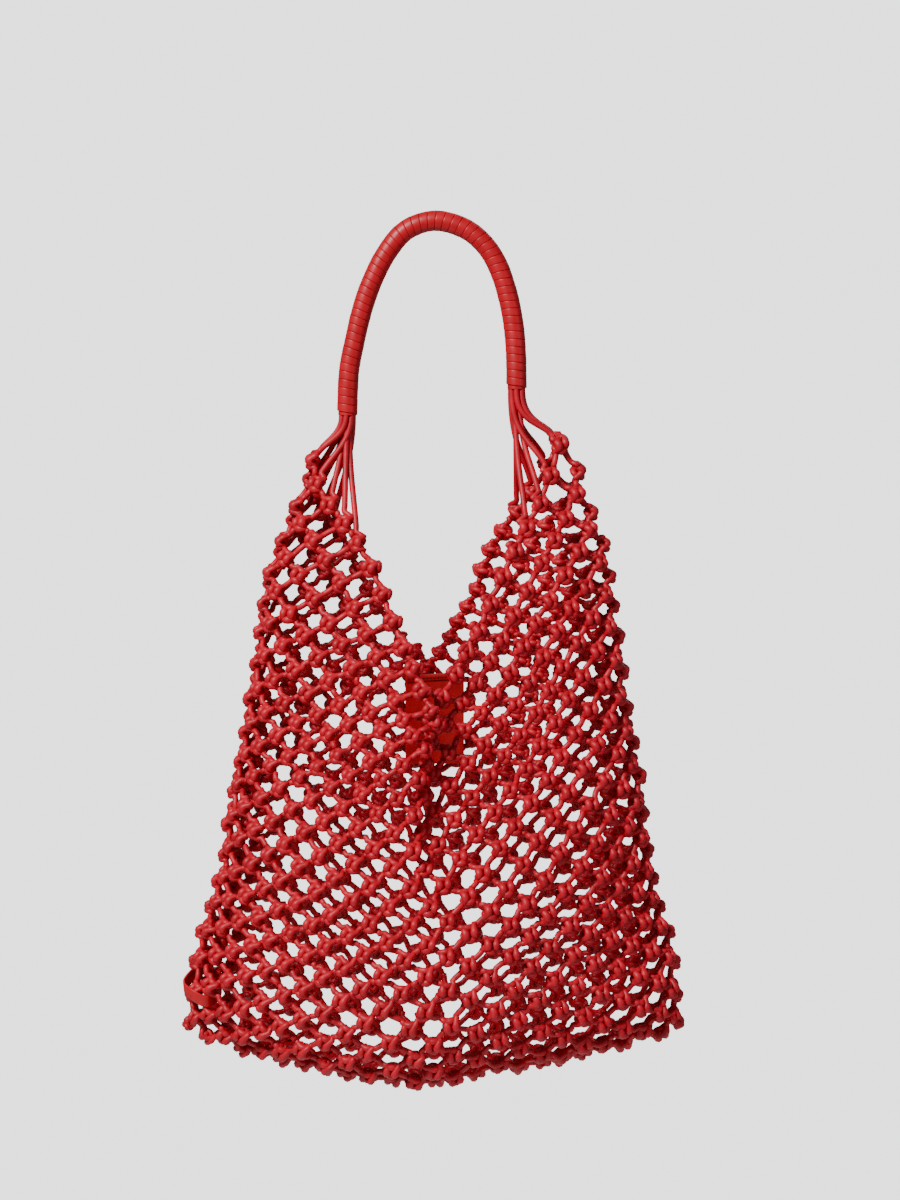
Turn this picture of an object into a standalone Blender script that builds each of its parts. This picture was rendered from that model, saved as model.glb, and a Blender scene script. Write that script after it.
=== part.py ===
"""Net shoulder bag of knotted round leather cord, hung by its wrapped handle.

Units: metres, +Z up, +X to the bag's right side, -Y to its front.
The origin is the middle of the handle's crown, where a hand holds it.
The net is one tube of diamond cells, closed by a seam across the base. Its
rows count down from two peaks, and its front and back are cut away in a V.
"""
import math

import bmesh
import bpy
from mathutils import Vector

for old_object in list(bpy.data.objects):
    bpy.data.objects.remove(old_object, do_unlink=True)

MM = 0.001
CLEARANCE = 0.3 * MM
BACKWARD = Vector((0.0, 1.0, 0.0))

# The net's grid: diamond cells, wider than the real cells by 26 / 14.
KNOTS_ROUND = 14
V_ROWS = 7
GRID_ROWS = 20
KNOT_THICKNESS = 9.0 * MM
CORD_TO_KNOT = 0.5
PEAK_KNOT = 0.4
CORD_BEND = 0.4 * MM

# The real net, whose rows and half steps round the sections below are measured in.
REAL_KNOTS_ROUND = 26
REAL_V_ROW = 13
REAL_SEAM_ROW = 36

# Hung form, in millimetres. row: real rows below the peaks. width: from the middle to a
# side fold. side: height of the side fold. front_drop, back_drop: how much lower the
# middle of the front and back hangs. front, back: how far each bulges. left_reach,
# right_reach: how far past the middle the last half step of the front's left and right
# half lies, and back_left_reach, back_right_reach: the same in the back. Less than zero
# is short of it.
SECTION_COLUMNS = ("row", "width", "side", "front_drop", "back_drop", "front", "back",
                   "left_reach", "right_reach", "back_left_reach", "back_right_reach")
SECTIONS = (
    (0, 79.0, -139.0, 36.0, 4.0, 38.0, 38.0, 85.0, 58.0, 45.0, 70.0),
    (2, 89.0, -170.5, 38.0, 3.0, 46.0, 46.0, 70.0, 47.0, 35.0, 62.0),
    (4, 98.5, -195.0, 42.0, 3.0, 51.0, 51.0, 58.0, 36.0, 23.0, 55.0),
    (6, 106.5, -215.0, 55.0, 5.0, 54.0, 54.0, 40.0, 26.0, 10.0, 39.0),
    (8, 110.5, -235.0, 57.0, 7.0, 57.0, 56.0, 25.0, 18.0, -3.0, 18.0),
    (10, 112.5, -254.0, 53.0, 6.0, 59.0, 57.0, 7.0, 4.0, -10.0, 3.0),
    (13, 117.0, -285.0, 42.0, 6.0, 62.0, 58.0, -8.0, -1.0, -14.0, -8.0),
    (16, 121.5, -318.5, 35.0, 12.0, 66.0, 62.0, -13.0, -2.0, -14.0, -11.0),
    (20, 129.5, -359.5, 37.0, 22.0, 71.0, 67.0, -15.0, 0.0, -13.0, -12.0),
    (24, 135.0, -403.0, 40.0, 34.0, 75.0, 71.0, -16.0, -8.0, -12.0, -12.0),
    (28, 143.5, -438.0, 47.0, 46.0, 74.0, 70.0, -20.0, -7.0, -12.0, -12.0),
    (31, 151.0, -464.0, 55.0, 54.0, 60.0, 58.0, -14.0, -11.0, -12.0, -12.0),
    (34, 155.0, -495.0, 51.0, 51.0, 33.0, 33.0, -12.0, -12.0, -12.0, -12.0),
    (36, 156.0, -513.0, 35.0, 35.0, 0.0, 0.0, -12.0, -12.0, -12.0, -12.0),
)
# How much closer the columns lie towards the side folds: low in the bag, and in the
# back's left half high up.
LEFT_CROWDING = 0.27
CROWDING = 0.21
BACK_CROWDING = 0.2
# How much closer the first columns lie to a side fold, which is a round turn.
FOLD_ROUNDING = 0.9
# The front's edges hang in a curve, steepest at the top of the V. Its right half hangs less.
SAG_POWER_TOP = 1.6
SAG_POWER = 1.05
RIGHT_SAG_LOSS = 0.16
# The right side hangs higher than the left, most of all at the peak.
SIDE_TILT = 9.0
PEAK_TILT = 5.0
PEAK_SHIFT = 2.0
# The back hangs a little higher than the front, from further up on its left half.
BACK_RISE = 7.0
PEAK_BACK_RISE = 5.0
# Nearly flat panels at the top, round below, and flat again with quick turns at the seam.
PANEL_POWER = 0.75
PANEL_ROUNDNESS = 0.5
SEAM_SQUARENESS = 0.45

# The front's left half laps over a pleat just right of the middle. Its offset and widths
# are in half steps of the real net, past the middle.
PLEAT_DEPTH = 22.0
PLEAT_VALLEY = 1.0
PLEAT_STEEP_WIDTH = 1.6
PLEAT_SHALLOW_WIDTH = 5.0

# Handle: a wrapped tube along an arch, as (x, z) in millimetres from its left end to
# its right end. Each turn of the wrap steps out over the one before.
HANDLE_ROUTE = (
    (-55.7, -125.0), (-54.6, -97.0), (-50.9, -77.0), (-46.0, -56.5), (-39.7, -38.5),
    (-30.5, -20.5), (-18.0, -6.0), (0.0, 0.0), (18.5, -4.5), (31.5, -14.5),
    (40.5, -28.5), (46.8, -47.0), (50.6, -66.5), (52.2, -86.0), (52.5, -108.0),
)
HANDLE_RADIUS = 6.3 * MM
WRAP_STEP = 0.5 * MM
WRAP_PITCH = 5.0 * MM
WRAP_EDGE = 0.06

# Fans of bare cord between each handle end and the edges of the mouth.
STRAND_RADIUS = 1.8 * MM
STRAND_START = 0.3
STRAND_STEPS = 6
THROAT_RADIUS = 5.2 * MM
THROAT_TAPER = 0.6
THROAT_LENGTH = 12.0 * MM
BUNDLE_RADIUS = 2.9 * MM
BUNDLE_TURN = 0.3
FRONT_STRAND_ROWS = (0.0, 0.5, 1.0, 1.5, 2.0)
BACK_STRAND_ROWS = (0.5, 1.0, 1.5, 2.0)
SPECK_POINTS = 20

# Flat leather patch that hangs inside the back, under the middle of the mouth.
PATCH_WIDTH = 38.0 * MM
PATCH_HEIGHT = 60.0 * MM
PATCH_THICKNESS = 1.6 * MM
PATCH_TOP = -291.0 * MM
PATCH_REAL_ROW = 14
PATCH_STAND_OFF = 2.1 * MM
PATCH_BOW = 1.5 * MM

# Flat loop tab round the left side fold, near the base.
TAB_ROW = 18
TAB_STRIP = 9.0 * MM
TAB_THICKNESS = 1.5 * MM
TAB_BULGE = 0.3 * MM
TAB_SLANT = 4.0 * MM
TAB_DEPTH = 10.0 * MM
TAB_STEPS = 24

LEATHER_RED = (0.50, 0.012, 0.018, 1.0)
WRAP_RED = (0.42, 0.010, 0.014, 1.0)
PATCH_RED = (0.30, 0.004, 0.008, 1.0)


def collection(name):
    """A new collection in the scene."""
    made = bpy.data.collections.new(name)
    bpy.context.scene.collection.children.link(made)
    return made


BAG = collection("net_shoulder_bag")
SHAPERS = collection("shapers")


def material(name, colour, roughness):
    """A leather finish of one colour."""
    made = bpy.data.materials.new(name)
    made.use_nodes = True
    shader = made.node_tree.nodes["Principled BSDF"]
    shader.inputs["Base Color"].default_value = colour
    shader.inputs["Roughness"].default_value = roughness
    shader.inputs["Metallic"].default_value = 0.0
    return made


def place(name, mesh, home, finish=None):
    """Put a mesh in a collection as a named object."""
    made = bpy.data.objects.new(name, mesh)
    home.objects.link(made)
    if finish is not None:
        mesh.materials.append(finish)
    if home is SHAPERS:
        made.hide_render = True
        made.display_type = "WIRE"
    return made


def mesh_from(bm, name):
    """Close a bmesh into a smooth-shaded mesh."""
    mesh = bpy.data.meshes.new(name)
    bm.to_mesh(mesh)
    bm.free()
    mesh.shade_smooth()
    return mesh


def section(row, column):
    """One column of SECTIONS at any row, read from a smooth curve through the table."""
    at = SECTION_COLUMNS.index(column)
    last = len(SECTIONS) - 1
    low = 0
    while low < last - 1 and row > SECTIONS[low + 1][0]:
        low += 1

    def slope(index):
        before = SECTIONS[max(index - 1, 0)]
        after = SECTIONS[min(index + 1, last)]
        return (after[at] - before[at]) / (after[0] - before[0])

    start, end = SECTIONS[low], SECTIONS[low + 1]
    span = end[0] - start[0]
    part = (row - start[0]) / span
    ease = part * part * (3.0 - 2.0 * part)
    lead_in = part * (1.0 - part) ** 2 * span * slope(low)
    lead_out = part * part * (part - 1.0) * span * slope(low + 1)
    return start[at] + (end[at] - start[at]) * ease + lead_in + lead_out


def ramp(value, low, high):
    """0 below low, 1 above high, smooth between."""
    part = min(max((value - low) / (high - low), 0.0), 1.0)
    return part * part * (3.0 - 2.0 * part)


def bell(value, width):
    """1 at zero, falling smoothly to each side."""
    return math.exp(-((value / width) ** 2))


def mixed(first, second, part):
    """From the first number to the second by a share."""
    return first + (second - first) * part


def net_point(turn, row):
    """A point of the hung net. turn runs once round, 0 at the left fold and a quarter
    at the middle of the front. row is in the real net's rows."""
    half = REAL_KNOTS_ROUND / 2.0
    half_step = (turn % 1.0) * 4.0 * half
    in_front = half_step <= 2.0 * half
    from_left = half_step if in_front else 4.0 * half - half_step
    on_left = from_left <= half
    from_side = from_left if on_left else 2.0 * half - from_left

    width = section(row, "width")
    left_reach = section(row, "left_reach" if in_front else "back_left_reach")
    right_reach = section(row, "right_reach" if in_front else "back_right_reach")
    if from_side <= half - 1.0:
        crowding = LEFT_CROWDING if in_front and on_left else CROWDING
        power = 1.0 + crowding * ramp(row, 6, 24)
        if on_left and not in_front:
            power += BACK_CROWDING * (1.0 - ramp(row, 12, 20))
        past_fold = from_side * (1.0 - FOLD_ROUNDING * math.exp(-from_side / 1.5))
        share = (past_fold / (half - 1.0)) ** power
        reach = left_reach if on_left else right_reach
        x = width - (width + reach) * share
        if on_left:
            x = -x
    else:
        x = mixed(left_reach, -right_reach, 0.5 * (from_left - half + 1.0))
    tilt = SIDE_TILT * (1.0 - ramp(row, 12, 29)) + PEAK_TILT * (1.0 - ramp(row, 0, 4))

    inward = from_side / half
    dome = math.sin(0.5 * math.pi * inward)
    sag = dome
    if in_front:
        edge_sag = inward ** mixed(SAG_POWER_TOP, SAG_POWER, ramp(row, 4, 9))
        sag = mixed(edge_sag, dome, ramp(row, 9, 13))
        sag *= 1.0 - RIGHT_SAG_LOSS * ramp(from_left, half, half + 3.0)
    drop = section(row, "front_drop" if in_front else "back_drop")
    z = section(row, "side") - drop * sag + tilt * x / width

    bulge = mixed(inward ** PANEL_POWER, dome, mixed(PANEL_ROUNDNESS, 1.0, ramp(row, 10, 22)))
    bulge = bulge ** (1.0 - SEAM_SQUARENESS * ramp(row, 28, 35))
    y = section(row, "front" if in_front else "back") * bulge
    if not in_front:
        begun = mixed(ramp(row, 2, 6), ramp(row, 9, 17), ramp(from_left, 6, 13))
        z += BACK_RISE * ramp(from_side, 0, 4) * begun * (1.0 - ramp(row, 28, 35))
        z += PEAK_BACK_RISE * ramp(from_side, 0, 2) * (1.0 - ramp(row, 5, 10))
    else:
        y = -y
        valley = from_left - half - PLEAT_VALLEY
        spread = PLEAT_STEEP_WIDTH if valley < 0 else PLEAT_SHALLOW_WIDTH
        y += PLEAT_DEPTH * ramp(row, 8, 13) * (1.0 - ramp(row, 17, 25)) * bell(valley, spread)
    x += PEAK_SHIFT * (1.0 - row / REAL_SEAM_ROW)
    return Vector((x, y, z)) * MM


def real_row(grid_row):
    """The real net's row at a row of the wider grid built here."""
    if grid_row <= V_ROWS:
        return REAL_V_ROW * grid_row / V_ROWS
    below = (grid_row - V_ROWS) / (GRID_ROWS - V_ROWS)
    return REAL_V_ROW + (REAL_SEAM_ROW - REAL_V_ROW) * below


def grid_point(step, grid_row):
    """A point of the hung net by grid step round and grid row."""
    return net_point((step % KNOTS_ROUND) / KNOTS_ROUND, real_row(grid_row))


def cord_middle(first, second):
    """The middle of the cord between two knots, bent a little along the net."""
    start = grid_point(first[0] / 2.0, first[1])
    end = grid_point(second[0] / 2.0, second[1])
    step = 0.5 * (first[0] + second[0]) / 2.0
    if abs(first[0] - second[0]) > KNOTS_ROUND:
        step += KNOTS_ROUND / 2.0
    grid_row = 0.5 * (first[1] + second[1])
    round_way = grid_point(step + 0.2, grid_row) - grid_point(step - 0.2, grid_row)
    down_way = grid_point(step, grid_row + 0.2) - grid_point(step, grid_row - 0.2)
    outward = down_way.cross(round_way)
    bend = (end - start).cross(outward).normalized()
    return start.lerp(end, 0.5) + bend * CORD_BEND


def knot_key(half_step, grid_row):
    """The name of one knot. At the seam row, front and back share their knots."""
    half_step %= 2 * KNOTS_ROUND
    if grid_row == GRID_ROWS and half_step > KNOTS_ROUND:
        half_step = 2 * KNOTS_ROUND - half_step
    return half_step, grid_row


def is_knot(half_step, grid_row):
    """Whether the net has a knot here, or the mouth's V is cut away."""
    if grid_row < 0 or grid_row > GRID_ROWS or (half_step - grid_row) % 2:
        return False
    half_step %= 2 * KNOTS_ROUND
    from_peak = min(half_step % KNOTS_ROUND, -half_step % KNOTS_ROUND)
    return grid_row >= V_ROWS or from_peak <= grid_row


def net_cells():
    """Each diamond cell as its four knots, wound so that it faces outward. The gap
    at each end of the seam is framed by its neighbours' cords and needs no cell."""
    cells = []
    for grid_row in range(GRID_ROWS - 1):
        for half_step in range(2 * KNOTS_ROUND):
            ring = ((half_step, grid_row), (half_step - 1, grid_row + 1),
                    (half_step, grid_row + 2), (half_step + 1, grid_row + 1))
            if all(is_knot(*corner) for corner in ring):
                cells.append([knot_key(*corner) for corner in ring])
    above_seam = GRID_ROWS - 1
    for half_step in range(3, KNOTS_ROUND - 2, 2):
        ring = ((half_step - 1, GRID_ROWS), (-half_step, above_seam),
                (half_step + 1, GRID_ROWS), (half_step, above_seam))
        cells.append([knot_key(*corner) for corner in ring])
    return cells


def curve_mesh(name, points, radii, resolution):
    """A round tube of flat-ended mesh along points, with its caps welded."""
    data = bpy.data.curves.new(name, "CURVE")
    data.dimensions = "3D"
    data.bevel_depth = 1.0
    data.bevel_resolution = resolution
    data.render_resolution_u = 0
    data.use_fill_caps = True
    spline = data.splines.new("POLY")
    spline.points.add(len(points) - 1)
    for item, point, radius in zip(spline.points, points, radii):
        item.co = (*point, 1.0)
        item.radius = radius
    guide = bpy.data.objects.new(name, data)
    bpy.context.scene.collection.objects.link(guide)
    evaluated = guide.evaluated_get(bpy.context.evaluated_depsgraph_get())
    mesh = bpy.data.meshes.new_from_object(evaluated)
    bpy.data.objects.remove(guide, do_unlink=True)
    bm = bmesh.new()
    bm.from_mesh(mesh)
    bmesh.ops.remove_doubles(bm, verts=bm.verts, dist=0.01 * MM)
    bm.to_mesh(mesh)
    bm.free()
    mesh.name = name
    return mesh


def between(before, start, end, after, part):
    """A point of the smooth curve from start to end, given the points beyond them."""
    return 0.5 * (2.0 * start + (end - before) * part
                  + (2.0 * before - 5.0 * start + 4.0 * end - after) * part ** 2
                  + (3.0 * start - before - 3.0 * end + after) * part ** 3)


def smooth_route(points, spacing):
    """Even steps along a smooth curve through points."""
    dense = []
    for index in range(len(points) - 1):
        before = points[max(index - 1, 0)]
        after = points[min(index + 2, len(points) - 1)]
        for step in range(20):
            dense.append(between(before, points[index], points[index + 1], after, step / 20.0))
    dense.append(points[-1])
    lengths = [0.0]
    for first, second in zip(dense, dense[1:]):
        lengths.append(lengths[-1] + (second - first).length)
    count = round(lengths[-1] / spacing)
    route = []
    index = 0
    for step in range(count + 1):
        wanted = lengths[-1] * step / count
        while index < len(lengths) - 2 and lengths[index + 1] < wanted:
            index += 1
        part = (wanted - lengths[index]) / (lengths[index + 1] - lengths[index])
        route.append(dense[index].lerp(dense[index + 1], part))
    return route


# Handle

def build_handle():
    """One wrapped tube. Returns the middles of its turns."""
    through = [Vector((x, 0.0, z)) * MM for x, z in HANDLE_ROUTE]
    turns = smooth_route(through, WRAP_PITCH)
    points, radii = [], []
    for start, end in zip(turns, turns[1:]):
        points += [start.lerp(end, WRAP_EDGE), start.lerp(end, 1.0 - WRAP_EDGE)]
        radii += [HANDLE_RADIUS - WRAP_STEP, HANDLE_RADIUS]
    points[0], points[-1] = turns[0], turns[-1]
    mesh = curve_mesh("handle", points, radii, 3)
    mesh.shade_smooth()
    place("handle", mesh, BAG, material("handle_wrap", WRAP_RED, 0.45))
    return turns


# Net and its fans of bare cord

def build_lattice():
    """The net's cells as a sheet with a point half way along each cord."""
    bm = bmesh.new()
    verts = {}
    knots = set()

    def vert(key, place_at):
        if key not in verts:
            verts[key] = bm.verts.new(place_at)
        return verts[key]

    for cell in net_cells():
        ring = []
        for first, second in zip(cell, cell[1:] + cell[:1]):
            knots.add(first)
            ring.append(vert(first, grid_point(first[0] / 2.0, first[1])))
            ring.append(vert(frozenset((first, second)), cord_middle(first, second)))
        bm.faces.new(ring)
    bm.verts.index_update()
    weights = [(verts[key].index, PEAK_KNOT if key[1] < 2 else 1.0) for key in sorted(knots)]
    lattice = place("lattice", mesh_from(bm, "lattice"), SHAPERS)
    group = lattice.vertex_groups.new(name="knots")
    for index, weight in weights:
        group.add([index], weight, "REPLACE")
    wires = lattice.modifiers.new("cords_and_knots", "WIREFRAME")
    wires.thickness = KNOT_THICKNESS
    wires.vertex_group = "knots"
    wires.thickness_vertex_group = CORD_TO_KNOT
    wires.use_boundary = True
    wires.use_replace = True
    wires.use_even_offset = True
    return lattice


def build_fan(side, end, towards):
    """Strands from one handle end to the edges of the mouth, and the throat they share.
    side is the grid step of the peak, towards the way that the handle's end points."""
    top = end + towards * CLEARANCE
    throat = curve_mesh("throat", (top, top + towards * THROAT_LENGTH),
                        (THROAT_RADIUS, THROAT_RADIUS * THROAT_TAPER), 3)
    place("throat_%d" % side, throat, SHAPERS)
    across = towards.cross(BACKWARD).normalized()
    goals = [(row, 1.0 if side == 0 else -1.0) for row in FRONT_STRAND_ROWS]
    goals += [(row, -1.0 if side == 0 else 1.0) for row in BACK_STRAND_ROWS]
    for index, (grid_row, direction) in enumerate(goals):
        goal = grid_point(side + direction * grid_row / 2.0, grid_row)
        turn = 2.0 * math.pi * (index + BUNDLE_TURN) / len(goals)
        spread = across * math.cos(turn) + BACKWARD * math.sin(turn)
        start = top + towards * THROAT_LENGTH * STRAND_START + spread * BUNDLE_RADIUS
        length = (goal - start).length
        lean = (goal - start).normalized()
        final = (lean + Vector((lean.x, lean.y, 0.0)) * 0.5).normalized()
        first_pull = start + towards * length * 0.35
        last_pull = goal - final * length * 0.3
        points = []
        for step in range(STRAND_STEPS + 1):
            part = step / STRAND_STEPS
            rest = 1.0 - part
            points.append(start * rest ** 3 + first_pull * 3.0 * rest ** 2 * part
                          + last_pull * 3.0 * rest * part ** 2 + goal * part ** 3)
        mesh = curve_mesh("strand", points, [STRAND_RADIUS] * len(points), 1)
        place("strand_%d_%d" % (side, index), mesh, SHAPERS)


def evaluated_mesh(shape):
    """A triangle mesh of an object with its modifiers applied."""
    evaluated = shape.evaluated_get(bpy.context.evaluated_depsgraph_get())
    mesh = bpy.data.meshes.new_from_object(evaluated)
    bm = bmesh.new()
    bm.from_mesh(mesh)
    bmesh.ops.triangulate(bm, faces=bm.faces)
    bm.to_mesh(mesh)
    bm.free()
    return mesh


def drop_specks(mesh):
    """Remove the loose specks that a union leaves where two strands graze."""
    bm = bmesh.new()
    bm.from_mesh(mesh)
    unseen = set(bm.verts)
    while unseen:
        piece = {unseen.pop()}
        front = list(piece)
        while front:
            for edge in front.pop().link_edges:
                for vert in edge.verts:
                    if vert not in piece:
                        piece.add(vert)
                        front.append(vert)
        unseen -= piece
        if len(piece) < SPECK_POINTS:
            bmesh.ops.delete(bm, geom=list(piece), context="VERTS")
    bm.to_mesh(mesh)
    bm.free()


def build_net(turns):
    """Join the lattice and both fans into one solid."""
    lattice = build_lattice()
    build_fan(0, turns[0], (turns[0] - turns[1]).normalized())
    build_fan(KNOTS_ROUND // 2, turns[-1], (turns[-1] - turns[-2]).normalized())
    joined = place("joined", evaluated_mesh(lattice), BAG)
    bpy.data.objects.remove(lattice, do_unlink=True)
    union = joined.modifiers.new("fans", "BOOLEAN")
    union.operation = "UNION"
    union.operand_type = "COLLECTION"
    union.collection = SHAPERS
    union.solver = "EXACT"
    mesh = evaluated_mesh(joined)
    bpy.data.objects.remove(joined, do_unlink=True)
    drop_specks(mesh)
    mesh.name = "net"
    mesh.shade_smooth()
    place("net", mesh, BAG, material("net_cord", LEATHER_RED, 0.5))


# Inner patch

def build_patch():
    """A flat cut of leather, bowed a little, just inside the back of the net."""
    columns, rows = 6, 8
    bm = bmesh.new()
    grid = []
    back = section(PATCH_REAL_ROW, "back") * MM - 0.5 * KNOT_THICKNESS - PATCH_STAND_OFF
    for row in range(rows + 1):
        line = []
        for column in range(columns + 1):
            x = PATCH_WIDTH * (column / columns - 0.5)
            z = PATCH_TOP - PATCH_HEIGHT * row / rows
            bow = PATCH_BOW * math.cos(math.pi * x / PATCH_WIDTH)
            line.append(bm.verts.new((x, back + bow - PATCH_THICKNESS, z)))
        grid.append(line)
    for upper, lower in zip(grid, grid[1:]):
        for column in range(columns):
            bm.faces.new((upper[column], lower[column], lower[column + 1], upper[column + 1]))
    mesh = mesh_from(bm, "inner_patch")
    patch = place("inner_patch", mesh, BAG, material("patch_leather", PATCH_RED, 0.4))
    thick = patch.modifiers.new("leather", "SOLIDIFY")
    thick.thickness = PATCH_THICKNESS
    thick.offset = 0.0


# Side tab

def gap_middle(half_step, grid_row):
    """The middle of the gap between four knots."""
    around = ((half_step - 1, grid_row), (half_step + 1, grid_row),
              (half_step, grid_row - 1), (half_step, grid_row + 1))
    total = Vector((0.0, 0.0, 0.0))
    for corner_step, corner_row in around:
        total += grid_point(corner_step / 2.0, corner_row)
    return total / 4.0


def build_tab():
    """A flat strip in a closed loop: out through a gap in the front, round the knot
    on the side fold, and in again through a gap in the back."""
    knot = grid_point(0, TAB_ROW)
    stand_off = 0.5 * KNOT_THICKNESS + CLEARANCE + 0.5 * TAB_THICKNESS
    slant = Vector((0.0, 0.0, TAB_SLANT))
    outer = knot - Vector((stand_off + TAB_BULGE, 0.0, 0.0))
    front = gap_middle(1, TAB_ROW) - slant
    back = gap_middle(-1, TAB_ROW) + slant
    inner = (front + back) / 2.0 + Vector((TAB_DEPTH, 0.0, 0.0))
    anchors = (outer, front, inner, back)
    bm = bmesh.new()
    upper, lower = [], []
    for step in range(TAB_STEPS):
        leg, part = divmod(4.0 * step / TAB_STEPS, 1.0)
        around = [anchors[(int(leg) + shift) % 4] for shift in (-1, 0, 1, 2)]
        middle = between(*around, part)
        half = Vector((0.0, 0.0, 0.5 * TAB_STRIP))
        upper.append(bm.verts.new(middle + half))
        lower.append(bm.verts.new(middle - half))
    for step in range(TAB_STEPS):
        after = (step + 1) % TAB_STEPS
        bm.faces.new((upper[step], lower[step], lower[after], upper[after]))
    mesh = mesh_from(bm, "side_tab")
    tab = place("side_tab", mesh, BAG, material("tab_leather", LEATHER_RED, 0.45))
    thick = tab.modifiers.new("leather", "SOLIDIFY")
    thick.thickness = TAB_THICKNESS
    thick.offset = 0.0


build_net(build_handle())
build_patch()
build_tab()
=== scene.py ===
import bisect
import math
import random

import bmesh
import bpy
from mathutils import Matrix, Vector


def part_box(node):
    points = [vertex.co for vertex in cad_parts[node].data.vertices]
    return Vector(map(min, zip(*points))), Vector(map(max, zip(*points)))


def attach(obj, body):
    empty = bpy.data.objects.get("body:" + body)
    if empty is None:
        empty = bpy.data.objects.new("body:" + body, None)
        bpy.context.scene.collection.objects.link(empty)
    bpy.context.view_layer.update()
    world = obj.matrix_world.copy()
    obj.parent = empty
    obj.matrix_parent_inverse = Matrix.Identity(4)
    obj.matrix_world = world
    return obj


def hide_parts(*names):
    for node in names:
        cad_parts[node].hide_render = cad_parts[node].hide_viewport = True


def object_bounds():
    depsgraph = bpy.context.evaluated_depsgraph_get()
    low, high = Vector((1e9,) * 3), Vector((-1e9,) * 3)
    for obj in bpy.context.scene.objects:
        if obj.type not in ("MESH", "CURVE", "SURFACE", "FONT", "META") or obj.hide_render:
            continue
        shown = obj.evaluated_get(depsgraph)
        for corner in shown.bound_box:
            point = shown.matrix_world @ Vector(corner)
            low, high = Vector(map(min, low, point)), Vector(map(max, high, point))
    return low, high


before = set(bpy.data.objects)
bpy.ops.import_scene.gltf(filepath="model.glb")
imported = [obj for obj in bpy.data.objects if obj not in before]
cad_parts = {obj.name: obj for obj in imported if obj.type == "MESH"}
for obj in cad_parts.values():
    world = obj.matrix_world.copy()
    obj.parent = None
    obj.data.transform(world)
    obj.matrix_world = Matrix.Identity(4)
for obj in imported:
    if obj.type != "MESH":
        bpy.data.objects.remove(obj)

MM = 0.001
cad_low, cad_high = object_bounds()


# Camera
# It stands square in front of the bag, level with the middle of the net, as a studio
# camera with a long lens does.
CAMERA_DISTANCE = 2.6
CAMERA_RISE = math.radians(2.0)
FRAME_HEIGHT = 0.768
AIM_RIGHT = 0.010
AIM_BELOW_CROWN = 0.248
aim = Vector((AIM_RIGHT, 0.0, cad_high.z - AIM_BELOW_CROWN))

camera_data = bpy.data.cameras.new("camera")
camera_data.sensor_fit = "VERTICAL"
camera_data.angle = 2.0 * math.atan(0.5 * FRAME_HEIGHT / CAMERA_DISTANCE)
camera = bpy.data.objects.new("camera", camera_data)
bpy.context.scene.collection.objects.link(camera)
towards_camera = Vector((0.0, -math.cos(CAMERA_RISE), math.sin(CAMERA_RISE)))
camera.location = aim + CAMERA_DISTANCE * towards_camera
camera.rotation_euler = (aim - camera.location).to_track_quat("-Z", "Y").to_euler()
bpy.context.scene.camera = camera


# Studio
# A plain pale room: one soft light from the upper left, a weak wide one from the right,
# a weak one from behind, and a pale floor far below that fades into the room.
ROOM_GREY = (0.80, 0.80, 0.795, 1.0)
ROOM_SEEN = 3.0
ROOM_LIGHT = 0.26
PAPER_GREY = (0.80, 0.80, 0.79, 1.0)
PAPER_ROUGHNESS = 0.9
FLOOR_DROP = 0.35
FLOOR_RADIUS = 1.3
FADE_FROM = 0.35
FADE_TO = 1.25


def area_light(name, place, size, power):
    """A square soft light that faces the middle of the bag."""
    data = bpy.data.lights.new(name, "AREA")
    data.size = size
    data.energy = power
    light = bpy.data.objects.new(name, data)
    bpy.context.scene.collection.objects.link(light)
    light.location = place
    light.rotation_euler = (aim - light.location).to_track_quat("-Z", "Y").to_euler()


area_light("key_light", Vector((-1.5, -1.9, 1.5)), size=0.6, power=140.0)
area_light("fill_light", Vector((2.2, -1.8, 0.2)), size=1.6, power=9.0)
area_light("back_light", Vector((0.8, 1.8, 1.2)), size=1.0, power=5.0)

world = bpy.data.worlds.new("room")
world.use_nodes = True
nodes, links = world.node_tree.nodes, world.node_tree.links
seen_room = nodes["Background"]
seen_room.inputs["Color"].default_value = ROOM_GREY
seen_room.inputs["Strength"].default_value = ROOM_SEEN
room_light = nodes.new("ShaderNodeBackground")
room_light.inputs["Color"].default_value = ROOM_GREY
room_light.inputs["Strength"].default_value = ROOM_LIGHT
ray = nodes.new("ShaderNodeLightPath")
either = nodes.new("ShaderNodeMixShader")
links.new(ray.outputs["Is Camera Ray"], either.inputs["Fac"])
links.new(room_light.outputs["Background"], either.inputs[1])
links.new(seen_room.outputs["Background"], either.inputs[2])
links.new(either.outputs["Shader"], nodes["World Output"].inputs["Surface"])
bpy.context.scene.world = world

bm = bmesh.new()
bmesh.ops.create_circle(bm, cap_ends=True, radius=FLOOR_RADIUS, segments=96)
floor_mesh = bpy.data.meshes.new("floor")
bm.to_mesh(floor_mesh)
bm.free()
floor = bpy.data.objects.new("floor", floor_mesh)
floor.location.z = cad_low.z - FLOOR_DROP
bpy.context.scene.collection.objects.link(floor)
paper = bpy.data.materials.new("studio_paper")
paper.use_nodes = True
nodes, links = paper.node_tree.nodes, paper.node_tree.links
nodes["Principled BSDF"].inputs["Base Color"].default_value = PAPER_GREY
nodes["Principled BSDF"].inputs["Roughness"].default_value = PAPER_ROUGHNESS
clear = nodes.new("ShaderNodeBsdfTransparent")
where = nodes.new("ShaderNodeTexCoord")
distance = nodes.new("ShaderNodeVectorMath")
distance.operation = "LENGTH"
fade = nodes.new("ShaderNodeMapRange")
fade.inputs["From Min"].default_value = FADE_FROM
fade.inputs["From Max"].default_value = FADE_TO
fade.interpolation_type = "SMOOTHSTEP"
blend = nodes.new("ShaderNodeMixShader")
links.new(where.outputs["Object"], distance.inputs[0])
links.new(distance.outputs["Value"], fade.inputs["Value"])
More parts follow.
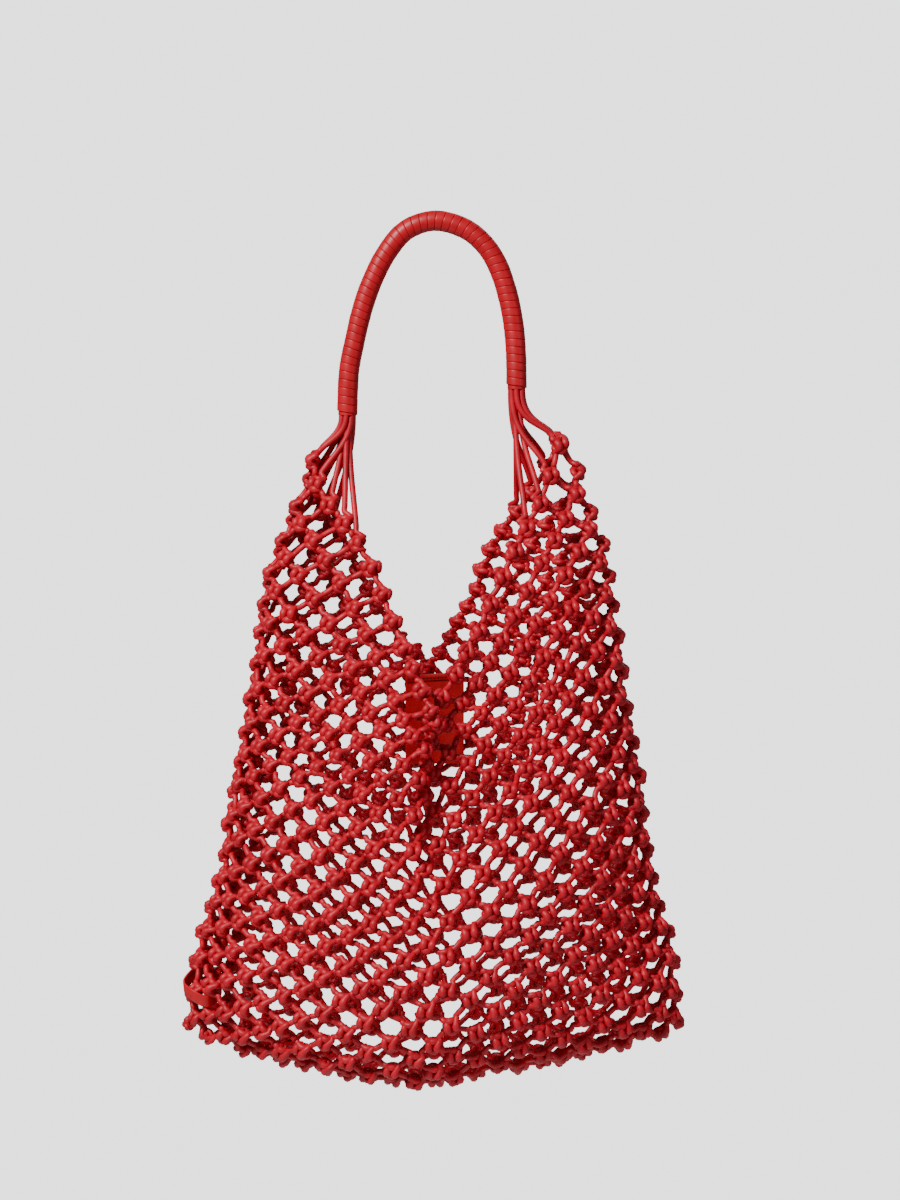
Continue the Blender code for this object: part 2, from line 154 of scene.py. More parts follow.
links.new(fade.outputs["Result"], blend.inputs["Fac"])
links.new(nodes["Principled BSDF"].outputs["BSDF"], blend.inputs[1])
links.new(clear.outputs["BSDF"], blend.inputs[2])
links.new(blend.outputs["Shader"], nodes["Material Output"].inputs["Surface"])
floor_mesh.materials.append(paper)


# Handle
# A firm round core bent into an arch and wound tightly, from end to end, with one flat
# strip of red leather. Its turns lie edge to edge, some a little prouder than others.
HANDLE_ROUTE = ((-55.7, -125.0), (-54.6, -97.0), (-50.9, -77.0), (-46.0, -56.5), (-39.7, -38.5),
                (-30.5, -20.5), (-18.0, -6.0), (0.0, 0.0), (18.5, -4.5), (31.5, -14.5),
                (40.5, -28.5), (46.8, -47.0), (50.6, -66.5), (52.2, -86.0), (52.5, -108.0))
HANDLE_RADIUS = 6.6 * MM
CORE_RADIUS = 5.8 * MM
CORE_SIDES = 24
TURN_PITCH = 5.0 * MM
TURN_GAP = 0.12 * MM
TURN_WIDTHS = (0.95, 1.05)
TURN_RISES = (-0.09, 0.07)
TURN_SIDES = 32
FIRST_TURN = -0.6 * math.pi
TOWARDS_FRONT = Vector((0.0, -1.0, 0.0))


def between(before, start, end, after, part):
    """A place on the smooth curve from start to end, given the places beyond them."""
    return 0.5 * (2.0 * start + (end - before) * part
                  + (2.0 * before - 5.0 * start + 4.0 * end - after) * part ** 2
                  + (3.0 * start - before - 3.0 * end + after) * part ** 3)


def smooth(points, steps):
    """More points along a smooth curve through (place, radius) points."""
    dense = []
    for index in range(len(points) - 1):
        before, start = points[max(index - 1, 0)], points[index]
        end, after = points[index + 1], points[min(index + 2, len(points) - 1)]
        for step in range(steps):
            part = step / steps
            place = between(before[0], start[0], end[0], after[0], part)
            dense.append((place, start[1] + (end[1] - start[1]) * part))
    dense.append(points[-1])
    return dense


def cords_mesh(name, cords, sides):
    """Round tubes along many cords, each a list of (place, radius), as one mesh."""
    data = bpy.data.curves.new(name, "CURVE")
    data.dimensions = "3D"
    data.bevel_depth = 1.0
    data.bevel_resolution = (sides - 4) // 2
    data.use_fill_caps = True
    for cord in cords:
        spline = data.splines.new("POLY")
        spline.points.add(len(cord) - 1)
        for item, (place, radius) in zip(spline.points, cord):
            item.co = (*place, 1.0)
            item.radius = radius
    guide = bpy.data.objects.new(name, data)
    bpy.context.scene.collection.objects.link(guide)
    evaluated = guide.evaluated_get(bpy.context.evaluated_depsgraph_get())
    mesh = bpy.data.meshes.new_from_object(evaluated)
    bpy.data.objects.remove(guide, do_unlink=True)
    mesh.shade_smooth()
    mesh.name = name
    return mesh


def closed_mesh(name, places, faces):
    """A smooth-shaded mesh with its faces all turned outward."""
    mesh = bpy.data.meshes.new(name)
    mesh.from_pydata([tuple(place) for place in places], [], faces)
    bm = bmesh.new()
    bm.from_mesh(mesh)
    bmesh.ops.recalc_face_normals(bm, faces=bm.faces)
    bm.to_mesh(mesh)
    bm.free()
    mesh.shade_smooth()
    return mesh


# Leather's gloss, how sharply its two tones part, how much its roughness varies with the
# grain, and how strongly the grain shows.
LEATHER_GLOSS = 0.36
TONES_FROM = 0.34
TONES_TO = 0.62
SMOOTHER = 0.08
ROUGHER = 0.10
GRAIN_STRENGTH = 0.6


def leather(name, colour, dark, roughness, patch_scale, grain_scale, grain_depth):
    """A dyed leather: two close tones in soft patches, a fine grain and a soft gloss."""
    made = bpy.data.materials.new(name)
    made.use_nodes = True
    nodes, links = made.node_tree.nodes, made.node_tree.links
    shader = nodes["Principled BSDF"]
    shader.inputs["Specular IOR Level"].default_value = LEATHER_GLOSS
    where = nodes.new("ShaderNodeTexCoord")
    patches = nodes.new("ShaderNodeTexNoise")
    patches.inputs["Scale"].default_value = patch_scale
    patches.inputs["Detail"].default_value = 4.0
    tones = nodes.new("ShaderNodeValToRGB")
    tones.color_ramp.elements[0].position = TONES_FROM
    tones.color_ramp.elements[0].color = dark
    tones.color_ramp.elements[1].position = TONES_TO
    tones.color_ramp.elements[1].color = colour
    grain = nodes.new("ShaderNodeTexNoise")
    grain.inputs["Scale"].default_value = grain_scale
    grain.inputs["Detail"].default_value = 4.0
    gloss = nodes.new("ShaderNodeMapRange")
    gloss.inputs["To Min"].default_value = roughness - SMOOTHER
    gloss.inputs["To Max"].default_value = roughness + ROUGHER
    relief = nodes.new("ShaderNodeBump")
    relief.inputs["Strength"].default_value = GRAIN_STRENGTH
    relief.inputs["Distance"].default_value = grain_depth
    links.new(where.outputs["Object"], patches.inputs["Vector"])
    links.new(where.outputs["Object"], grain.inputs["Vector"])
    links.new(patches.outputs["Fac"], tones.inputs["Fac"])
    links.new(tones.outputs["Color"], shader.inputs["Base Color"])
    links.new(grain.outputs["Fac"], gloss.inputs["Value"])
    links.new(gloss.outputs["Result"], shader.inputs["Roughness"])
    links.new(grain.outputs["Fac"], relief.inputs["Height"])
    links.new(relief.outputs["Normal"], shader.inputs["Normal"])
    return made


def add(mesh, finish):
    """A piece of the bag made from a mesh. All of the bag is one body."""
    mesh.materials.clear()
    mesh.materials.append(finish)
    piece = bpy.data.objects.new(mesh.name, mesh)
    bpy.context.scene.collection.objects.link(piece)
    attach(piece, "root")
    return piece


route = [(Vector((x, 0.0, z)) * MM, 0.0) for x, z in HANDLE_ROUTE]
arch = [place for place, _ in smooth(route, 16)]
arch_marks = [0.0]
for start, end in zip(arch, arch[1:]):
    arch_marks.append(arch_marks[-1] + (end - start).length)
arch_length = arch_marks[-1]


def arch_place(distance):
    """The middle of the handle at a distance along it from its left end."""
    distance = min(max(distance, 0.0), arch_length)
    index = min(max(bisect.bisect_right(arch_marks, distance) - 1, 0), len(arch) - 2)
    part = (distance - arch_marks[index]) / (arch_marks[index + 1] - arch_marks[index])
    return arch[index].lerp(arch[index + 1], part)


def arch_way(distance):
    """The direction that the handle runs in there, left end to right end."""
    return (arch_place(distance + 2.0 * MM) - arch_place(distance - 2.0 * MM)).normalized()


# Across one turn of the strip, as (share of its width from the edge nearer the left end,
# height from the handle's surface in millimetres).
STRIP_PROFILE = ((0.02, -1.0), (0.0, -0.45), (0.01, -0.20), (0.04, -0.07), (0.12, -0.02),
                 (0.88, 0.02), (0.96, 0.0), (0.99, -0.10), (1.0, -0.40), (0.98, -1.0))
chance = random.Random(5)
turn_edges = [0.0]
while turn_edges[-1] < arch_length:
    turn_edges.append(turn_edges[-1] + TURN_PITCH * chance.uniform(*TURN_WIDTHS))
turn_heights = [chance.uniform(*TURN_RISES) * MM for _ in turn_edges]


def turn_edge(turns):
    """How far along the handle the strip's first edge is, after so many turns."""
    index = min(int(turns), len(turn_edges) - 2)
    return turn_edges[index] + (turn_edges[index + 1] - turn_edges[index]) * (turns - index)


places, faces = [], []
ring = len(STRIP_PROFILE)
step = 0
while turn_edge(step / TURN_SIDES + 1.0) <= arch_length:
    turns = step / TURN_SIDES
    first, last = turn_edge(turns), turn_edge(turns + 1.0) - TURN_GAP
    part = turns - int(turns)
    rise = turn_heights[int(turns)] * (1.0 - part) + turn_heights[int(turns) + 1] * part
    for share, height in STRIP_PROFILE:
        along = first + (last - first) * share
        way = arch_way(along)
        across = way.cross(TOWARDS_FRONT).normalized()
        angle = 2.0 * math.pi * turns + FIRST_TURN
        spoke = across * math.cos(angle) + TOWARDS_FRONT * math.sin(angle)
        places.append(arch_place(along) + spoke * (HANDLE_RADIUS + height * MM + rise))
    if step:
        for index in range(ring - 1):
            low = (step - 1) * ring + index
            faces.append((low, low + 1, low + ring + 1, low + ring))
    step += 1
faces.append(tuple(range(ring)))
faces.append(tuple(range((step - 1) * ring, step * ring)))
wrap_leather = leather("wrap_leather", colour=(0.46, 0.0, 0.009, 1.0),
                       dark=(0.38, 0.0, 0.006, 1.0), roughness=0.42,
                       patch_scale=120.0, grain_scale=1100.0, grain_depth=0.10 * MM)
wrap = add(closed_mesh("handle_wrap", places, faces), wrap_leather)
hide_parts("handle")

core_line = [(place, CORE_RADIUS) for place in arch[1:-1]]
core = add(cords_mesh("handle_core", [core_line], CORE_SIDES), wrap_leather)

# Where the net's cords enter the handle: its two ends, and the way out of each.
HANDLE_ENDS = {"left": (arch_place(0.0), -arch_way(2.0 * MM)),
               "right": (arch_place(arch_length), arch_way(arch_length - 2.0 * MM))}


# Net
# Round red leather cord, 3.9 mm thick, knotted by hand into a tube of diamond meshes. It
# starts at the two peaks and the edges of the mouth's V, and closes in a row of shared
# knots along the base. Each knot ties two cords in round lobes, which cross behind them.
KNOTS_ROUND = 26
V_ROW = 13
SEAM_ROW = 36
CORD_RADIUS = 1.95 * MM

# The hung form, in millimetres. row: rows below the peaks. width: from the middle to a
# side fold. side: height of the side fold. front_drop, back_drop: how much lower the
# middle of the front and back hangs. front, back: how far each bulges. left_reach,
# right_reach: how far past the middle the last half step of the front's left and right
# half lies, and back_left_reach, back_right_reach: the same in the back. Less than zero
# is short of it.
SECTION_COLUMNS = ("row", "width", "side", "front_drop", "back_drop", "front", "back",
                   "left_reach", "right_reach", "back_left_reach", "back_right_reach")
SECTIONS = (
    (0, 79.0, -139.0, 36.0, 4.0, 38.0, 38.0, 85.0, 58.0, 45.0, 70.0),
    (2, 89.0, -170.5, 38.0, 3.0, 46.0, 46.0, 70.0, 47.0, 35.0, 62.0),
    (4, 98.5, -195.0, 42.0, 3.0, 51.0, 51.0, 58.0, 36.0, 23.0, 55.0),
    (6, 106.5, -215.0, 55.0, 5.0, 54.0, 54.0, 40.0, 26.0, 10.0, 39.0),
    (8, 110.5, -235.0, 57.0, 7.0, 57.0, 56.0, 25.0, 18.0, -3.0, 18.0),
    (10, 112.5, -254.0, 53.0, 6.0, 59.0, 57.0, 12.0, 9.0, -10.0, 6.0),
    (13, 117.0, -285.0, 40.0, 6.0, 62.0, 58.0, -4.0, 5.0, -15.0, -6.0),
    (16, 121.5, -318.5, 34.0, 12.0, 66.0, 62.0, -12.0, 3.0, -14.0, -11.0),
    (20, 129.5, -359.5, 37.0, 22.0, 71.0, 67.0, -15.0, 0.0, -13.0, -12.0),
    (24, 135.0, -403.0, 40.0, 34.0, 75.0, 71.0, -16.0, -8.0, -12.0, -12.0),
    (28, 143.5, -438.0, 47.0, 46.0, 74.0, 70.0, -20.0, -7.0, -12.0, -12.0),
    (31, 151.0, -464.0, 55.0, 54.0, 60.0, 58.0, -14.0, -11.0, -12.0, -12.0),
    (34, 155.0, -495.0, 51.0, 51.0, 33.0, 33.0, -12.0, -12.0, -12.0, -12.0),
    (36, 156.0, -513.0, 35.0, 35.0, 0.0, 0.0, -12.0, -12.0, -12.0, -12.0),
)
# How much closer the columns lie towards the side folds: low in the bag, and in the
# back's left half high up.
LEFT_CROWDING = 0.27
CROWDING = 0.21
BACK_CROWDING = 0.2
# How much closer the first columns lie to a side fold, which is a round turn, and how
# many half steps wide that turn is.
FOLD_ROUNDING = 0.9
FOLD_WIDTH = 1.5
# The front's edges hang in a curve, steepest at the top of the V. Its right half hangs less.
SAG_POWER_TOP = 1.6
SAG_POWER = 1.05
RIGHT_SAG_LOSS = 0.16
# The right side hangs higher than the left, most of all at the peak.
SIDE_TILT = 9.0
PEAK_TILT = 5.0
PEAK_SHIFT = 2.0
# The back hangs a little higher than the front, from further up on its left half.
BACK_RISE = 7.0
PEAK_BACK_RISE = 5.0
# Nearly flat panels at the top, round below, and flat again with quick turns at the seam.
PANEL_POWER = 0.75
PANEL_ROUNDNESS = 0.5
SEAM_SQUARENESS = 0.45
# The front's left half laps over a pleat just right of the middle. Its offset and widths
# are in half steps past the middle.
PLEAT_DEPTH = 28.0
PLEAT_VALLEY = 1.0
PLEAT_STEEP_WIDTH = 1.6
PLEAT_SHALLOW_WIDTH = 5.0
# The rows over which each of these comes in or goes out again.
CROWDING_IN = (6, 24)
BACK_CROWDING_OUT = (12, 20)
STEEP_EDGE_OUT = (4, 9)
CUT_EDGE_OUT = (9, 13)
SIDE_TILT_OUT = (12, 29)
PEAK_TILT_OUT = (0, 4)
LEFT_RISE_IN = (2, 6)
RIGHT_RISE_IN = (9, 17)
PEAK_RISE_OUT = (5, 10)
ROUND_PANEL_IN = (10, 22)
SEAM_IN = (28, 35)
PLEAT_IN = (8, 13)
PLEAT_OUT = (17, 25)
# The half steps over which the back rises, next to a side fold and from left to right,
# and over which the front's right half comes to hang less.
RISE_STEPS = (0, 4)
PEAK_RISE_STEPS = (0, 2)
LEFT_TO_RIGHT = (6, 13)
RIGHT_SAG_STEPS = (13, 16)


def section(row, column):
    """One column of SECTIONS at any row, read from a smooth curve through the table."""
    at = SECTION_COLUMNS.index(column)
    last = len(SECTIONS) - 1
    low = 0
    while low < last - 1 and row > SECTIONS[low + 1][0]:
        low += 1

    def slope(index):
        before = SECTIONS[max(index - 1, 0)]
        after = SECTIONS[min(index + 1, last)]
        return (after[at] - before[at]) / (after[0] - before[0])

    start, end = SECTIONS[low], SECTIONS[low + 1]
    span = end[0] - start[0]
    part = (row - start[0]) / span
    ease = part * part * (3.0 - 2.0 * part)
    lead_in = part * (1.0 - part) ** 2 * span * slope(low)
    lead_out = part * part * (part - 1.0) * span * slope(low + 1)
    return start[at] + (end[at] - start[at]) * ease + lead_in + lead_out


def ramp(value, low, high):
    """0 below low, 1 above high, smooth between."""
    part = min(max((value - low) / (high - low), 0.0), 1.0)
    return part * part * (3.0 - 2.0 * part)


def bell(value, width):
    """1 at zero, falling smoothly to each side."""
    return math.exp(-((value / width) ** 2))


def mixed(first, second, part):
    """From the first number to the second by a share."""
    return first + (second - first) * part


def net_point(half_step, row):
    """A point of the hung net. half_step runs from 0 at the left fold through 13 at the
    middle of the front, 26 at the right fold and 39 at the middle of the back."""
    half_step %= 2 * KNOTS_ROUND
    half = KNOTS_ROUND / 2.0
    in_front = half_step <= KNOTS_ROUND
    from_left = half_step if in_front else 2 * KNOTS_ROUND - half_step
    on_left = from_left <= half
    from_side = from_left if on_left else KNOTS_ROUND - from_left

    width = section(row, "width")
    left_reach = section(row, "left_reach" if in_front else "back_left_reach")
    right_reach = section(row, "right_reach" if in_front else "back_right_reach")
    if from_side <= half - 1.0:
        crowding = LEFT_CROWDING if in_front and on_left else CROWDING
        past_fold = from_side * (1.0 - FOLD_ROUNDING * math.exp(-from_side / FOLD_WIDTH))
        power = 1.0 + crowding * ramp(row, *CROWDING_IN)
        if on_left and not in_front:
            power += BACK_CROWDING * (1.0 - ramp(row, *BACK_CROWDING_OUT))
        share = (past_fold / (half - 1.0)) ** power
        x = width - (width + (left_reach if on_left else right_reach)) * share
        if on_left:
            x = -x
    else:
        x = mixed(left_reach, -right_reach, 0.5 * (from_left - half + 1.0))
    tilt = SIDE_TILT * (1.0 - ramp(row, *SIDE_TILT_OUT))
    tilt += PEAK_TILT * (1.0 - ramp(row, *PEAK_TILT_OUT))

    inward = from_side / half
    dome = math.sin(0.5 * math.pi * inward)
    sag = dome
    if in_front:
        edge_sag = inward ** mixed(SAG_POWER_TOP, SAG_POWER, ramp(row, *STEEP_EDGE_OUT))
        sag = mixed(edge_sag, dome, ramp(row, *CUT_EDGE_OUT))
        sag *= 1.0 - RIGHT_SAG_LOSS * ramp(from_left, *RIGHT_SAG_STEPS)
    z = section(row, "side") - section(row, "front_drop" if in_front else "back_drop") * sag
    z += tilt * x / width

    roundness = mixed(PANEL_ROUNDNESS, 1.0, ramp(row, *ROUND_PANEL_IN))
    bulge = mixed(inward ** PANEL_POWER, dome, roundness)
    bulge = bulge ** (1.0 - SEAM_SQUARENESS * ramp(row, *SEAM_IN))
    y = section(row, "front" if in_front else "back") * bulge
    if not in_front:
        begun = mixed(ramp(row, *LEFT_RISE_IN), ramp(row, *RIGHT_RISE_IN),
                      ramp(from_left, *LEFT_TO_RIGHT))
        rise = BACK_RISE * ramp(from_side, *RISE_STEPS)
        z += rise * begun * (1.0 - ramp(row, *SEAM_IN))
        peak_rise = PEAK_BACK_RISE * ramp(from_side, *PEAK_RISE_STEPS)
        z += peak_rise * (1.0 - ramp(row, *PEAK_RISE_OUT))
    else:
        y = -y
        valley = from_left - half - PLEAT_VALLEY
        spread = PLEAT_STEEP_WIDTH if valley < 0 else PLEAT_SHALLOW_WIDTH
        depth = PLEAT_DEPTH * ramp(row, *PLEAT_IN) * (1.0 - ramp(row, *PLEAT_OUT))
        y += depth * bell(valley, spread)
    x += PEAK_SHIFT * (1.0 - row / SEAM_ROW)
    return Vector((x, y, z)) * MM


def knot_at(half_step, row):
    """The name of the knot there, or None past the peaks, the V's edges and the seam. The
    right peak has two knots, one row down."""
    half_step %= 2 * KNOTS_ROUND
    from_peak = min(half_step % KNOTS_ROUND, -half_step % KNOTS_ROUND)
    if row < 0 or row > SEAM_ROW or (row < V_ROW and from_peak > row):
        return None
    if (half_step, row) == (KNOTS_ROUND, 0):
        return None
    if row == SEAM_ROW and half_step > KNOTS_ROUND:
        half_step = 2 * KNOTS_ROUND - half_step
    return half_step, row


def neighbours(knot):
    """The knots that its four cords lead to, seen from outside the bag. Along the seam
    the lower two are in the back."""
    half_step, row = knot
    found = {"upper_left": knot_at(half_step - 1, row - 1),
             "upper_right": knot_at(half_step + 1, row - 1),
             "lower_left": knot_at(half_step - 1, row + 1),
             "lower_right": knot_at(half_step + 1, row + 1)}
    if row == SEAM_ROW and 0 < half_step < KNOTS_ROUND:
        over = 2 * KNOTS_ROUND - half_step
        found["lower_left"] = knot_at(over + 1, row - 1)
        found["lower_right"] = knot_at(over - 1, row - 1)
    return found


knots = sorted({knot_at(half_step, row) for row in range(SEAM_ROW + 1)
                for half_step in range(row % 2, 2 * KNOTS_ROUND, 2)} - {None})
links_of = {knot: neighbours(knot) for knot in knots}

# Down to this row, the V's edge knots send their free cords up into the handle, ten to
# each end of it: two from each knot at a peak, and one from each knot below.
FAN_ROWS = 4


def fan_side(knot, port):
    """The end of the handle that a knot's free cord goes up to, or None."""
    half_step, row = knot
    if row > FAN_ROWS or links_of[knot][port] is not None:
        return None
    return "left" if min(half_step, 2 * KNOTS_ROUND - half_step) < V_ROW else "right"


# Each knot lies a little off the even net and is turned and tilted a little, as hand
# work is, and the knots of a panel lean towards its side fold. A knot is smaller where
# the cords between knots are short, and its cords leave it in a slight bow.
KNOT_DRIFT = 0.7 * MM
KNOT_TURN = math.radians(14.0)
KNOT_TILT = math.radians(10.0)
PANEL_LEAN = math.radians(18.0)
KNOT_NOD = math.radians(14.0)
CORD_BOW = 0.9 * MM
EVEN_SPACING = 16.5 * MM
FAN_SPACING = 18.0 * MM
SMALLEST_KNOT = 0.8
LARGEST_KNOT = 1.04
KNOT_SIZES = (0.96, 1.05)
chance = random.Random(7)
middle_of = {}
for knot in knots:
    drift = Vector([chance.uniform(-1.0, 1.0) for _ in range(3)]) * KNOT_DRIFT
    middle_of[knot] = net_point(*knot) + drift

PORT_SIDE = {"upper_left": (-1, 1), "upper_right": (1, 1),
             "lower_left": (-1, -1), "lower_right": (1, -1)}
OPPOSITE = {"upper_left": "lower_right", "lower_right": "upper_left",
            "upper_right": "lower_left", "lower_left": "upper_right"}


def rotated(first, second, angle):
    """Two square directions turned about the third, the first towards the second."""
    cosine, sine = math.cos(angle), math.sin(angle)
    return first * cosine + second * sine, second * cosine - first * sine


def lie_of_knot(knot):
    """Which way a knot's four cords leave it, and its across, up and out directions."""
    ways = {}
    for port, other in links_of[knot].items():
        side = fan_side(knot, port)
        if other is not None:
            ways[port] = middle_of[other] - middle_of[knot]
        elif side is not None:
            mouth, way_out = HANDLE_ENDS[side]
            ways[port] = (mouth - middle_of[knot]).normalized() * FAN_SPACING
    near = [way.length for way in ways.values()]
    for port in PORT_SIDE:
        if port not in ways and links_of[knot][OPPOSITE[port]] is not None:
            ways[port] = -ways[OPPOSITE[port]]
    across, up = Vector(), Vector()
    for port, way in ways.items():
        across += way.normalized() * PORT_SIDE[port][0]
        up += way.normalized() * PORT_SIDE[port][1]
    outward = across.cross(up).normalized()
    across = (across.normalized() + up.normalized().cross(outward)).normalized()
    up = outward.cross(across)
    across, up = rotated(across, up, chance.uniform(-KNOT_TURN, KNOT_TURN))
    up, outward = rotated(up, outward, KNOT_NOD + chance.uniform(-KNOT_TILT, KNOT_TILT))
    lean = PANEL_LEAN * math.sin(2.0 * math.pi * knot[0] / KNOTS_ROUND)
    across, outward = rotated(across, outward, lean + chance.uniform(-KNOT_TILT, KNOT_TILT))
    size = sum(near) / len(near) / EVEN_SPACING
    size = min(max(size, SMALLEST_KNOT), LARGEST_KNOT) * chance.uniform(*KNOT_SIZES)
    bows = {}
    for port in PORT_SIDE:
        bow = across * chance.uniform(-1.0, 1.0) + outward * chance.uniform(-1.0, 1.0)
        bows[port] = bow * CORD_BOW
    return {"across": across, "up": up, "outward": outward,
            "ways": ways, "size": size, "bows": bows}


lies = {knot: lie_of_knot(knot) for knot in knots}

# The two cords' ways through a knot, as (across, up, outward, thickness): across and up in
# lobe offsets, outward in millimetres. The rising cord goes from lower left to upper
# right over the left and right lobes, the falling cord from upper left to lower right
# over a flat top lobe and a bottom one. A cord swells over each lobe, where it is bent
# hardest, and is squeezed where it tucks under the next.
LOBE_OFFSET = 2.85 * MM
RISING_WAY = (
    (-1.62, -1.30, -0.6, 0.95),
    (-1.20, -0.90, 1.2, 1.04),
    (-0.94, -0.22, 2.9, 1.32),
    (-0.86, 0.42, 2.6, 1.32),
    (-0.80, 1.00, 0.0, 1.04),
    (-0.50, 1.05, -1.6, 0.95),
    (0.0, 0.0, -1.4, 1.20),
    (0.50, -1.05, -1.4, 0.95),
    (0.80, -1.00, 0.1, 1.04),
    (0.86, -0.40, 2.8, 1.36),
    (0.97, 0.24, 3.2, 1.36),
    (1.24, 0.88, 1.3, 1.04),
    (1.62, 1.30, -0.6, 0.95),
)
FALLING_WAY = (
    (-1.30, 1.62, -0.6, 0.95),
    (-0.75, 1.30, -0.2, 1.0),
    (-0.10, 1.14, 0.2, 1.15),
    (0.50, 1.06, 0.0, 1.12),
    (1.00, 0.85, -1.2, 1.0),
    (1.05, 0.45, -2.1, 0.98),
    (0.0, 0.0, -3.0, 1.12),
    (-1.05, -0.45, -2.0, 0.98),
    (-1.02, -0.94, -0.3, 1.03),
    (-0.50, -1.26, 2.3, 1.32),
    (0.25, -1.30, 2.7, 1.36),
    (0.90, -1.38, 1.1, 1.06),
    (1.34, -1.62, -0.6, 0.95),
)
# A cord that ends at a knot curls round its side and is tucked in behind it. This is the
# curl at the upper right port; the other ports turn it by quarters.
CURL = ((1.80, 0.80, -0.6, 1.05), (1.55, -0.20, -1.5, 1.1), (1.05, -0.65, -2.2, 1.0),
        (0.45, -0.45, -2.4, 0.9))
EXIT_REACH = 7.0 * MM
EXIT_SHARE = 0.43
QUARTERS = {"upper_right": 0, "lower_right": 1, "lower_left": 2, "upper_left": 3}


def turned(way_point, quarters):
    """A point of a way, turned by quarters to the right about the knot's middle."""
    across, up, outward, thickness = way_point
    for _ in range(quarters):
        across, up = up, -across
    return across, up, outward, thickness


def in_place(knot, way_point):
    """A way's point as a place in the bag and a cord radius."""
    lie = lies[knot]
    across, up, outward, thickness = way_point
    offset = (lie["across"] * across + lie["up"] * up) * LOBE_OFFSET
    offset += lie["outward"] * outward * MM
    return middle_of[knot] + offset * lie["size"], CORD_RADIUS * thickness * lie["size"] ** 0.5


def leave(knot, port):
    """Where a cord has left a knot, on its way to the next."""
    lie = lies[knot]
    way = lie["ways"][port]
    reach = min(EXIT_REACH * lie["size"], EXIT_SHARE * way.length)
    return middle_of[knot] + way.normalized() * reach + lie["bows"][port], CORD_RADIUS


def through(knot, entry):
    """A cord's points through a knot, from the port it comes in by to the opposite one."""
    way = RISING_WAY if entry in ("lower_left", "upper_right") else FALLING_WAY
    points = [in_place(knot, way_point) for way_point in way]
    if entry in ("upper_right", "lower_right"):
        points.reverse()
    return points


# The handle's mouth holds the ten cords side by side: seven round three, each on the side
# that it comes from. A pull is how straight the cords come out, as a share of their length.
MOUTH_RING = 3.9 * MM
MOUTH_CORE = 1.7 * MM
MOUTH_CORDS_INSIDE = 3
MOUTH_DEPTH = 7.0 * MM
FAN_PULL = {"left": 0.42, "right": 0.58}
KNOT_PULL = 0.3
FAN_STEP = 4.0 * MM
FEWEST_STEPS = 4
SQUEEZED_AT_MOUTH = 0.95
SQUEEZED_INSIDE = 0.9
fan_spots = {}
for side, (mouth, way_out) in HANDLE_ENDS.items():
    sideways = way_out.cross(TOWARDS_FRONT).normalized()
    comers = []
    for knot in knots:
        for port in ("upper_left", "upper_right"):
            if fan_side(knot, port) == side:
                towards = middle_of[knot] - mouth
                spread = Vector((towards.dot(sideways), towards.dot(TOWARDS_FRONT)))
                bearing = math.atan2(spread.y, spread.x)
                comers.append((spread.length / towards.length, bearing, knot, port))
    comers.sort()
    inner = sorted(comers[:MOUTH_CORDS_INSIDE], key=lambda comer: comer[1])
    outer = sorted(comers[MOUTH_CORDS_INSIDE:], key=lambda comer: comer[1])
    for group, radius in ((inner, MOUTH_CORE), (outer, MOUTH_RING)):
        turns_in = [comer[1] - 2.0 * math.pi * index / len(group)
                    for index, comer in enumerate(group)]
        first = sum(turns_in) / len(group)
        for index, (_, _, knot, port) in enumerate(group):
            angle = first + 2.0 * math.pi * index / len(group)
            spoke = sideways * math.cos(angle) + TOWARDS_FRONT * math.sin(angle)
            fan_spots[knot, port] = (mouth + spoke * radius, way_out, FAN_PULL[side])


def loose_end(knot, port):
    """The end of a cord beyond a knot: up into the handle, or curled round the knot's
    side and tucked in behind it."""
    if (knot, port) not in fan_spots:
        return [in_place(knot, turned(point, QUARTERS[port])) for point in CURL]
    spot, way_out, pull = fan_spots[knot, port]
    start = leave(knot, port)[0]
    span = (spot - start).length
    first = start + (spot - start).normalized() * KNOT_PULL * span
    second = spot + way_out * pull * span
    steps = max(int(span / FAN_STEP), FEWEST_STEPS)
    points = []
    for step in range(steps):
        part = step / steps
        rest = 1.0 - part
        place = (start * rest ** 3 + first * 3.0 * rest ** 2 * part
                 + second * 3.0 * rest * part ** 2 + spot * part ** 3)
        points.append((place, CORD_RADIUS))
    points.append((spot, SQUEEZED_AT_MOUTH * CORD_RADIUS))
    points.append((spot - way_out * MOUTH_DEPTH, SQUEEZED_INSIDE * CORD_RADIUS))
    return points


def cord_from(knot, entry, seen):
    """One whole cord, from the edge knot that it starts at to the one it ends at."""
    points = list(reversed(loose_end(knot, entry)))
    while True:
        seen.add((knot, entry in ("lower_left", "upper_right")))
        if links_of[knot][entry] is not None:
            points.append(leave(knot, entry))
        points += through(knot, entry)
        way_out = OPPOSITE[entry]
        following = links_of[knot][way_out]
        if following is None:
            return points + loose_end(knot, way_out)
        points.append(leave(knot, way_out))
        entry = next(port for port, other in links_of[following].items() if other == knot)
        knot = following


CORD_SIDES = 8
CORD_STEPS = 2
CORD_GROUPS = 5
cord_leather = leather("cord_leather", colour=(0.50, 0.0, 0.015, 1.0),
                       dark=(0.37, 0.0, 0.009, 1.0), roughness=0.48,
                       patch_scale=95.0, grain_scale=1500.0, grain_depth=0.12 * MM)
seen = set()
cords = []
for entry in PORT_SIDE:
    for knot in knots:
        rising = entry in ("lower_left", "upper_right")
        if links_of[knot][entry] is None and (knot, rising) not in seen:
            cords.append(cord_from(knot, entry, seen))
for group in range(CORD_GROUPS):
    lines = [smooth(cord, CORD_STEPS) for cord in cords[group::CORD_GROUPS]]
    net = add(cords_mesh("net_cords_%d" % (group + 1), lines, CORD_SIDES), cord_leather)
    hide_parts("net")


